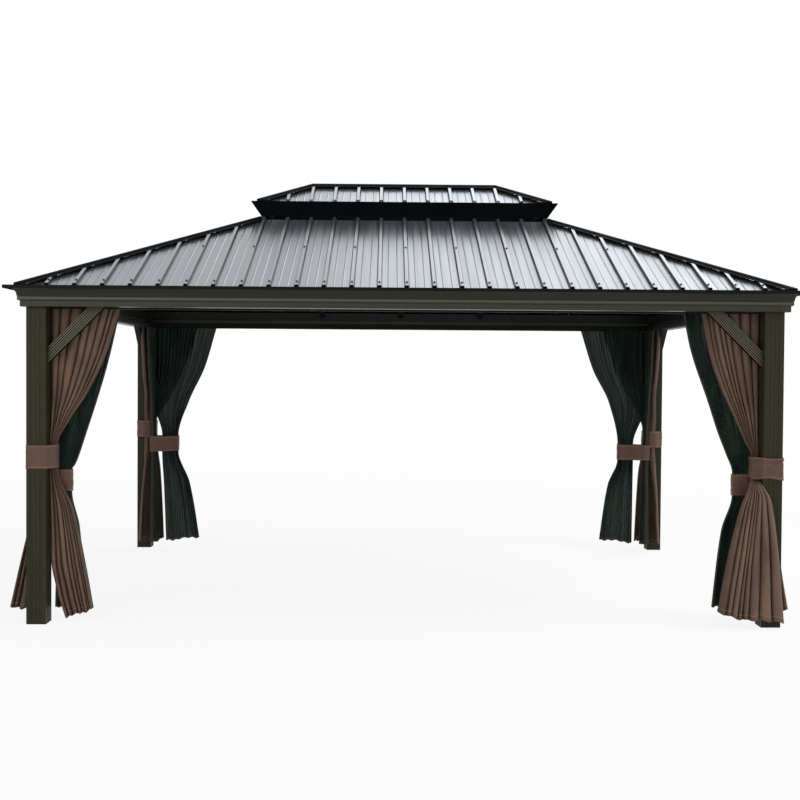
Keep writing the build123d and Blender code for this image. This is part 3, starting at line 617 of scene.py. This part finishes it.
def profile_samples(profile, count):
    """Evenly spaced points of the smooth line through one fold's profile."""
    points = np.array(profile)
    turn = np.array([1.0, 0.0])
    before, after, later = (np.vstack([points[k:], points[:k] + turn]) for k in (len(points) - 1, 1, 2))
    before[0] -= turn
    before[1:] -= turn
    t = np.linspace(0.0, 1.0, FOLD_STEPS, endpoint=False)[:, None, None]
    line = 0.5 * (2 * points + (after - before) * t + (2 * before - 5 * points + 4 * after - later) * t ** 2
                  + (3 * points - before - 3 * after + later) * t ** 3)
    line = line.transpose(1, 0, 2).reshape(-1, 2)
    line = np.vstack([line, line[0] + turn])
    steps = np.hypot(FOLD_ASPECT * np.diff(line[:, 0]), np.diff(line[:, 1]))
    lengths = np.concatenate([[0.0], np.cumsum(steps)])
    spots = np.linspace(0.0, lengths[-1], count, endpoint=False)
    return np.interp(spots, lengths, line[:, 0]), np.interp(spots, lengths, line[:, 1])


def fold_line(style, folds, seed):
    """Each column of a sheet: its place along the gathered cloth, its fold, and its height on that fold."""
    dice = random.Random(seed)
    wide, taper = FOLD_TAPER
    widths = [dice.uniform(*FOLD_WIDTHS) * (wide - taper * k / folds) for k in range(folds)]
    starts = np.concatenate([[0.0], np.cumsum(widths) / sum(widths)])
    profile_x, profile_y = profile_samples(style["profile"], style["columns"])
    fold = np.repeat(np.arange(folds), style["columns"])
    along = starts[fold] + np.diff(starts)[fold] * np.tile(profile_x, folds)
    return np.clip(along, 0.0, 1.0), fold, np.tile(profile_y, folds)


def crest_heights(fold, z, folds, seed):
    """How far each fold stands out, drifting slowly down its length."""
    dice = random.Random(seed + 100)
    level = np.array([dice.uniform(*CREST_LEVELS) for _ in range(folds)])
    rate = np.array([dice.uniform(*CREST_RATES) for _ in range(folds)])
    shift = np.array([dice.uniform(0.0, 6.28) for _ in range(folds)])
    return np.clip(level[fold] + CREST_SWAY * np.sin(rate[fold] * z + shift[fold]), *CREST_LIMITS)


def row_shares(tie_share):
    """Shares of the sheet's height for its rows, closer together round the tie."""
    fine = np.linspace(0.0, 1.0, 600)
    density = 1.0 + TIE_CROWD * np.exp(-((fine - tie_share) / TIE_SPREAD) ** 2)
    total = np.concatenate([[0.0], np.cumsum(0.5 * (density[1:] + density[:-1]))])
    return np.interp(np.linspace(0.0, total[-1], SHEET_ROWS), total, fine)


def hem_heights(along, hem, seed):
    """Height of each column's foot, from the post's end to the leading edge, with a rise and waves."""
    post_end, lead_end, rise = hem
    waves = sum(height * np.sin(rate * along + shift * seed) for height, rate, shift in HEM_WAVES)
    return post_end + (lead_end - post_end) * along + rise * np.sin(math.pi * along) + waves


def plan_lines(stations, z):
    """The edge's x and y, the leading edge's x and y, and the half depth of the sheet at each height."""
    stations = sorted(stations)
    knots = [height for height, edge, lead, half in stations]
    rows = [(*edge, *lead, half) for height, edge, lead, half in stations]
    return [smooth_curve(z, knots, values) for values in zip(*rows)]


def fold_shares(along, z, seed):
    """Each column's share of the way across the sheet, as the folds drift slowly sideways down the cloth."""
    share = np.tile(along, (SHEET_ROWS, 1))
    drift = 0.0
    for size, rate, across, shift in FOLD_DRIFT:
        drift = drift + size * np.sin(rate * z + across * share + shift * seed)
    return share + drift * np.sin(math.pi * share)


def ripple(x, y, z, seed):
    """Fine unevenness of the cloth at a point, as a share of the fold's depth."""
    spot = Vector((x * RIPPLE_RATE, y * RIPPLE_RATE + seed, z * RIPPLE_RATE / 2))
    return sum(size * noise.noise(spot * finer) for size, finer in RIPPLES)


def sheet_shape(corner, stations, folds, seed, hem, style):
    """A gathered sheet's points row by row, how far down each row is, and each point's height on its fold."""
    along, fold, height = fold_line(style, folds, seed)
    tie_z = max(z for z, edge, lead, half in stations if math.dist(edge, lead) < TIE_WIDTH)
    down = row_shares((HANG_Z - tie_z) / HANG_Z)
    z = HANG_Z + (hem_heights(along, hem, seed)[None, :] - HANG_Z) * down[:, None]
    edge_x, edge_y, lead_x, lead_y, half = plan_lines(stations, z)
    chord_x, chord_y = lead_x - edge_x, lead_y - edge_y
    chord = np.hypot(chord_x, chord_y)
    sign = np.where((chord_x - chord_y) < 0, -1.0, 1.0) * (1.0 if style["outward"] else -1.0)
    normal_x, normal_y = -chord_y / chord * sign, chord_x / chord * sign
    wave = np.where(height > 0.0, height * crest_heights(fold, z, folds, seed), height)
    share = fold_shares(along, z, seed)
    x = edge_x + chord_x * share + normal_x * half * wave
    y = edge_y + chord_y * share + normal_y * half * wave
    side_x, side_y = corner_signs(corner)
    points = []
    for at in np.ndindex(z.shape):
        out = half[at] * ripple(x[at], y[at], z[at], seed)
        points.append((side_x * (x[at] + normal_x[at] * out), side_y * (y[at] + normal_y[at] * out), z[at]))
    return points, down, wave


def gathered_sheet(name, corner, stations, seed, hem, style, run):
    """A sheet hung in deep folds from its head and gathered by a tie.

    A station is (z, edge point, lead point, half depth): the plan line that the folds cross at that height,
    from the edge by the post to the leading edge. The points are those of the back right corner.
    """
    folds, flat = style[run]
    points, down, wave = sheet_shape(corner, stations, folds, seed, hem, style)
    columns = folds * style["columns"]
    faces = grid_faces(SHEET_ROWS, columns, corner)
    piece = new_piece(name, points, faces, style["material"])
    across = np.linspace(0.0, flat[0], columns)
    cut = [(u, v, min(flat[1] - v, u, flat[0] - u)) for v in down * flat[1] for u in across]
    set_vectors(piece, "cut", cut)
    # Each point's height on its fold, which the cloth's finish turns into painted shade in the valleys
    crest = piece.data.attributes.new("fold", "FLOAT", "POINT")
    crest.data.foreach_set("value", np.clip(0.5 + 0.5 * wave, 0.0, 1.0).ravel())
    return piece


# Where curtains and nets hang

# Each long curtain above its tie: height and leading edge
LONG_TOP = {"front_left": [(HANG_Z, 1.779), (1.66, 1.865), (1.42, 1.979), (1.26, 2.085)],
            "front_right": [(HANG_Z, 1.838), (1.70, 1.888), (1.51, 1.953), (1.30, 2.050), (1.14, 2.125)],
            "back_left": [(HANG_Z, 1.794), (1.66, 1.890), (1.42, 1.990), (1.26, 2.085)],
            "back_right": [(HANG_Z, 1.794), (1.66, 1.885), (1.42, 1.985), (1.26, 2.085)]}
# Below its tie: height, post edge and leading edge
LONG_BOTTOM = {"front_left": [(0.70, 2.202, 2.066), (0.385, 2.199, 1.997), (0.18, 2.160, 1.960),
                              (0.0, 2.105, 1.928)],
               "back_left": [(0.70, 2.198, 2.125), (0.385, 2.198, 2.105), (0.0, 2.198, 2.088)],
               "back_right": [(0.70, 2.198, 2.125), (0.385, 2.198, 2.105), (0.0, 2.198, 2.088)]}
# The front right one swings out in front of its post: height, plan line, its two edges, and half depth
FRONT_RIGHT_BOTTOM = [(0.900, 1.600, 2.198, 2.132, 0.014), (0.868, 1.655, 2.206, 2.110, 0.013),
                      (0.82, 1.669, 2.236, 2.090, 0.019), (0.765, 1.672, 2.252, 2.066, 0.022),
                      (0.42, 1.676, 2.300, 1.980, 0.026), (0.0, 1.678, 2.338, 1.906, 0.027)]
# How far the hem of each front side curtain flares out past its post
SIDE_FLARE = {"front_left": 2.490, "front_right": 2.440}

# Each long net above its tie: height and leading edge
NET_TOP = {"front_left": [(HANG_Z, 1.788), (1.60, 1.868), (1.38, 1.932), (1.20, 1.990), (1.02, 2.050),
                          (0.965, 2.074)],
           "front_right": [(HANG_Z, 1.741), (1.716, 1.790), (1.40, 1.900), (1.20, 1.967), (1.08, 2.014)],
           "back_left": [(HANG_Z, 1.624), (1.60, 1.725), (1.31, 1.860)],
           "back_right": [(HANG_Z, 1.589), (1.60, 1.700), (1.31, 1.845)]}
# Leading and post edge of each long net in its tie and at its hem
NET_TIE_X = {"front_left": (2.089, 2.164), "front_right": (2.062, 2.160), "back_left": (1.956, 2.097),
             "back_right": (1.926, 2.062)}
NET_HEM_X = {"front_left": (1.992, 2.190), "front_right": (1.932, 2.118), "back_left": (1.754, 2.058),
             "back_right": (1.757, 2.058)}

# Height of each hem at the post and at the leading edge, and how much it rises between
LONG_HEM = {"front_left": (0.028, 0.085, -0.01), "front_right": (0.040, 0.095, -0.01),
            "back_left": (0.070, 0.078, 0.0), "back_right": (0.070, 0.080, 0.0)}
SIDE_HEM = (0.070, 0.075, 0.0)
LONG_NET_HEM = (0.07, 0.10, 0.0)
SIDE_NET_HEM = (0.07, 0.09, 0.0)


def long_curtain_stations(corner):
    """The plan lines of one long curtain."""
    line = CURTAIN_LINE[1]
    stations = [(z, (2.201, line), (lead, line), 0.022) for z, lead in LONG_TOP[corner]]
    stations += [(z, (2.200, 1.546), (2.160, 1.546), 0.024) for z in TIE_Z[corner]]
    if corner == "front_right":
        return stations + [(z, (edge, y), (lead, y), half) for z, y, edge, lead, half in FRONT_RIGHT_BOTTOM]
    return stations + [(z, (edge, 1.536), (lead, 1.536), 0.026 + 0.003 * (0.7 - z))
                       for z, edge, lead in LONG_BOTTOM[corner]]


def side_curtain_stations(corner):
    """The plan lines of one side curtain; at the front its hem flares out past the post."""
    line = CURTAIN_LINE[0]
    low, high = TIE_Z[corner]
    tied = 2.231
    if corner in SIDE_FLARE:
        flare = SIDE_FLARE[corner]
        top = [(HANG_Z, 1.099), (1.66, 1.162), (1.40, 1.285)]
        bottom = [(0.86, (tied, 1.500), (2.270, 1.476), 0.022),
                  (0.45, (2.228, 1.490), (0.4 * tied + 0.6 * flare, 1.474), 0.026),
                  (0.0, (2.226, 1.486), (flare, 1.480), 0.028)]
    else:
        top = [(HANG_Z, 1.244), (1.84, 1.236), (1.60, 1.300), (1.38, 1.385)]
        bottom = [(0.50, (2.222, 1.490), (2.262, 1.440), 0.026),
                  (0.0, (2.226, 1.475), (2.280, 1.402), 0.028)]
    stations = [(z, (line, 1.516), (line, lead), 0.022) for z, lead in top]
    stations += [(high + 0.10, (line + 0.01, 1.515), (line + 0.01, 1.440), 0.024)]
    stations += [(z, (tied, 1.515), (tied, 1.475), 0.024) for z in (low, high)]
    return stations + bottom


def long_net_stations(corner):
    """The plan lines of one long net."""
    line = NET_LINE[1]
    head_edge, lower_edge, change_z = 2.139, 2.176, 1.5
    lead_tie, edge_tie = NET_TIE_X[corner]
    lead_hem, edge_hem = NET_HEM_X[corner]
    stations = [(z, (head_edge if z > change_z else lower_edge, line), (lead, line), 0.020)
                for z, lead in NET_TOP[corner]]
    stations += [(z, (edge_tie, line), (lead_tie, line), 0.018) for z in NET_TIE_Z[corner]]
    middle = (0.6 * edge_tie + 0.4 * edge_hem, line), (0.5 * lead_tie + 0.5 * lead_hem, line)
    return stations + [(0.58, *middle, 0.018), (0.0, (edge_hem, line), (lead_hem, line), 0.018)]


def side_net_stations(corner):
    """The plan lines of one side net."""
    line = NET_LINE[0]
    lead = 1.114 if corner.startswith("front") else 1.214
    stations = [(HANG_Z, (line, 1.454), (line, lead), 0.018),
                (1.60, (line, 1.454), (line, lead + 0.047), 0.018),
                (1.30, (line - 0.002, 1.454), (line - 0.002, lead + 0.130), 0.018)]
    stations += [(z, (2.1605, 1.452), (2.1605, 1.378), 0.018) for z in NET_TIE_Z[corner]]
    return stations + [(0.50, (2.152, 1.452), (2.152, 1.340), 0.022),
                       (0.0, (2.1455, 1.452), (2.1455, 1.301), 0.030)]


def add_curtains():
    """Two curtains and two nets at each corner."""
    for number, corner in enumerate(CORNERS):
        curtains = [
            gathered_sheet("curtain_long_" + corner, corner, long_curtain_stations(corner), 11 + number,
                           LONG_HEM[corner], CURTAIN_STYLE, "long"),
            gathered_sheet("curtain_side_" + corner, corner, side_curtain_stations(corner), 31 + number,
                           SIDE_HEM, CURTAIN_STYLE, "side"),
        ]
        nets = [
            gathered_sheet("net_long_" + corner, corner, long_net_stations(corner), 51 + number,
                           LONG_NET_HEM, NET_STYLE, "long"),
            gathered_sheet("net_side_" + corner, corner, side_net_stations(corner), 71 + number,
                           SIDE_NET_HEM, NET_STYLE, "side"),
        ]
        for piece in curtains:
            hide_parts("curtain_" + corner)
        for piece in nets:
            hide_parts("net_" + corner)


# Tie bands

BAND_ROWS = 17
BAND_STEP = 0.004
BAND_ROUNDING = 0.005
BAND_CLEARANCE = 0.0018
CORNER_STEPS = 6
# How far each band's cloth bunches up
CRUMPLE = {"front_left": 0.004, "front_right": 0.013, "back_left": 0.004, "back_right": 0.006}
NET_CRUMPLE = 0.005
# The way round a post and its two curtains
POST_OUTLINE = [(2.158, 1.520), (2.205, 1.473), (2.257, 1.473), (POST_OUTER[0], POST_INNER[1]), POST_OUTER,
                (POST_INNER[0], POST_OUTER[1]), (2.158, 1.572)]


def ring_points(outline):
    """Evenly spaced points and outward directions round a convex outline with rounded corners."""
    count = len(outline)
    path = []
    for i in range(count):
        before, at, after = (Vector(outline[j % count]) for j in (i - 1, i, i + 1))
        arrive, leave = (at - before).normalized(), (after - at).normalized()
        start, end = at - arrive * BAND_ROUNDING, at + leave * BAND_ROUNDING
        for step in range(CORNER_STEPS + 1):
            t = step / CORNER_STEPS
            path.append(start * (1 - t) ** 2 + at * (2 * t * (1 - t)) + end * t ** 2)
    path.append(path[0])
    lengths = [0.0]
    for a, b in zip(path, path[1:]):
        lengths.append(lengths[-1] + (b - a).length)
    total = lengths[-1]
    spots = np.linspace(0.0, total, int(total / BAND_STEP), endpoint=False)
    xs = np.interp(spots, lengths, [p.x for p in path])
    ys = np.interp(spots, lengths, [p.y for p in path])
    dx = np.roll(xs, -1) - np.roll(xs, 1)
    dy = np.roll(ys, -1) - np.roll(ys, 1)
    size = np.hypot(dx, dy)
    return xs, ys, dy / size, -dx / size, total


def band_creases(spot, v, seed, crumple):
    """How far a point of a band stands out and how far its edge shifts, by broad and fine creases."""
    wide = noise.noise(Vector((spot * 8.0 + seed, v * 1.6, seed)))
    fine = noise.noise(Vector((spot * 30.0 + v * 9.0, v * 4.0 + spot * 14.0, seed + 4.0)))
    out = BAND_CLEARANCE + crumple * max(0.0, 0.4 + 0.7 * wide + 0.5 * fine)
    return out, 0.7 * crumple * noise.noise(Vector((spot * 11.0, 7.0 + 1.5 * v, seed)))


def tie_band(name, corner, outline, edges, seed, crumple, node):
    """A closed band of cloth drawn round an outline, with creases, rolled edges and a row of stitches."""
    xs, ys, nx, ny, total = ring_points(outline)
    side_x, side_y = corner_signs(corner)
    bottom, height = edges[0], edges[1] - edges[0]
    columns = len(xs)
    points, cut = [], []
    for r in range(BAND_ROWS):
        v = r / (BAND_ROWS - 1)
        for c in range(columns):
            spot = c / columns * total
            out, lift = band_creases(spot, v, seed, crumple)
            points.append((side_x * (xs[c] + nx[c] * out), side_y * (ys[c] + ny[c] * out),
                           bottom + crumple * 0.5 + (height - crumple) * v + lift))
            cut.append((spot, v * height, min(v, 1.0 - v) * height))
    faces = grid_faces(BAND_ROWS, columns, corner, closed=True)
    piece = new_piece(name, points, faces, "band")
    set_vectors(piece, "cut", cut)
    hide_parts(node)


def net_outline(corner):
    """The way round the two nets of a corner."""
    lead, edge = NET_TIE_X[corner][0] - 0.002, NET_TIE_X[corner][1] + 0.002
    return [(lead, 1.460), (2.140, 1.376), (2.181, 1.376), (2.181, 1.454), (edge, 1.500), (lead, 1.500)]


def add_bands():
    """One band round each post and its curtains, and one round each pair of nets."""
    for number, corner in enumerate(CORNERS):
        tie_band("tie_band_" + corner, corner, POST_OUTLINE, TIE_Z[corner], 3 + number, CRUMPLE[corner],
                 "tie_bands")
        tie_band("net_band_" + corner, corner, net_outline(corner), NET_TIE_Z[corner], 13 + number,
                 NET_CRUMPLE, "net_bands")


# Screws and rib closures

# How far the ribs keep from the hips
HIP_MARGIN = 0.09
# Height up the slope of the two rows of screws
SCREW_ROWS = (0.055, 0.690)
# A screw's rubber seal and washer as rings of radius and height, and its hex head
WASHER_RINGS = ((0.0085, 0.0), (0.0085, 0.0012), (0.0075, 0.0026), (0.0048, 0.0030))
WASHER_SIDES = 12
HEX_RINGS = ((0.0042, 0.0029), (0.0042, 0.0072))
# How far a screw's seal is lifted off the crown
SCREW_LIFT = 0.0002
# The foam in each rib's end: half width at its foot and top, height, length, and its place up the slope
CLOSURE = {"foot": 0.0150, "top": 0.0086, "height": 0.0181, "length": 0.025, "up": 0.012}


def rib_places(up):
    """Each roof rib's number, and the place on the sheet at its middle at a distance up the slope."""
    slope = ROOF_FOOT["slope"]
    turn = Matrix.Rotation(math.atan(slope), 4, "X")
    for side in range(4):
        runs = ROOF_FOOT["half_length"], ROOF_FOOT["half_depth"]
        half_run, setback = runs if side % 2 == 0 else reversed(runs)
        count = int(half_run / RIB_PITCH)
        for rib in range(-count, count + 1):
            x = rib * RIB_PITCH
            if abs(x) <= half_run - up - HIP_MARGIN:
                spot = Matrix.Translation((x, -setback + up, ROOF_FOOT["z"] + up * slope))
                yield rib, Matrix.Rotation(side * math.pi / 2, 4, "Z") @ spot @ turn


def add_stack(mesh, rings, sides):
    """Rings of points one above the other, joined by faces and closed at the top."""
    turns = [2 * math.pi * i / sides for i in range(sides)]
    rows = [[mesh.verts.new((r * math.cos(a), r * math.sin(a), h)) for a in turns] for r, h in rings]
    for low, high in zip(rows, rows[1:]):
        for i in range(sides):
            j = (i + 1) % sides
            mesh.faces.new((low[i], low[j], high[j], high[i]))
    mesh.faces.new(rows[-1])


def screw_mesh():
    """A hex washer head screw with its rubber seal, on its own axis."""
    mesh = bmesh.new()
    add_stack(mesh, WASHER_RINGS, WASHER_SIDES)
    add_stack(mesh, HEX_RINGS, 6)
    mesh.verts.index_update()
    points = [v.co.copy() for v in mesh.verts]
    faces = [[v.index for v in f.verts] for f in mesh.faces]
    mesh.free()
    return points, faces


def closure_mesh():
    """The tapered foam block that fills the end of a hollow rib."""
    foot, top, height = CLOSURE["foot"], CLOSURE["top"], CLOSURE["height"]
    section = [(-foot, 0.0), (foot, 0.0), (top, height), (-top, height)]
    points = [Vector((x, y, z)) for y in (0.0, CLOSURE["length"]) for x, z in section]
    sides = [(i, (i + 1) % 4, (i + 1) % 4 + 4, i + 4) for i in range(4)]
    return points, [(3, 2, 1, 0), (4, 5, 6, 7)] + sides


def repeated_piece(name, shape, places, material):
    """One piece made of a small shape at many places."""
    shape_points, shape_faces = shape
    points, faces = [], []
    for place in places:
        base = len(points)
        points.extend(place @ p for p in shape_points)
        faces.extend([base + i for i in face] for face in shape_faces)
    new_piece(name, points, faces, material, smooth=False)


def add_roof_details():
    """Screws on every rib at the eave and on every second one half way up, and foam in the ribs' ends."""
    low, high = SCREW_ROWS
    on_crown = Matrix.Translation((0.0, 0.0, RIB_HEIGHT + SCREW_LIFT))
    screws = [place @ on_crown for rib, place in rib_places(low)]
    screws += [place @ on_crown for rib, place in rib_places(high) if rib % 2 == 0]
    repeated_piece("roof_screws", screw_mesh(), screws, "screw")
    closures = [place for rib, place in rib_places(CLOSURE["up"])]
    repeated_piece("rib_closures", closure_mesh(), closures, "cap")


add_camera()
set_world()
for lamp_name, lamp in LAMPS.items():
    add_lamp(lamp_name, *lamp)
add_floor()
MATERIALS = make_materials()
dress_frame()
add_curtains()
add_bands()
add_roof_details()
bpy.context.scene.view_settings.view_transform = "Standard"
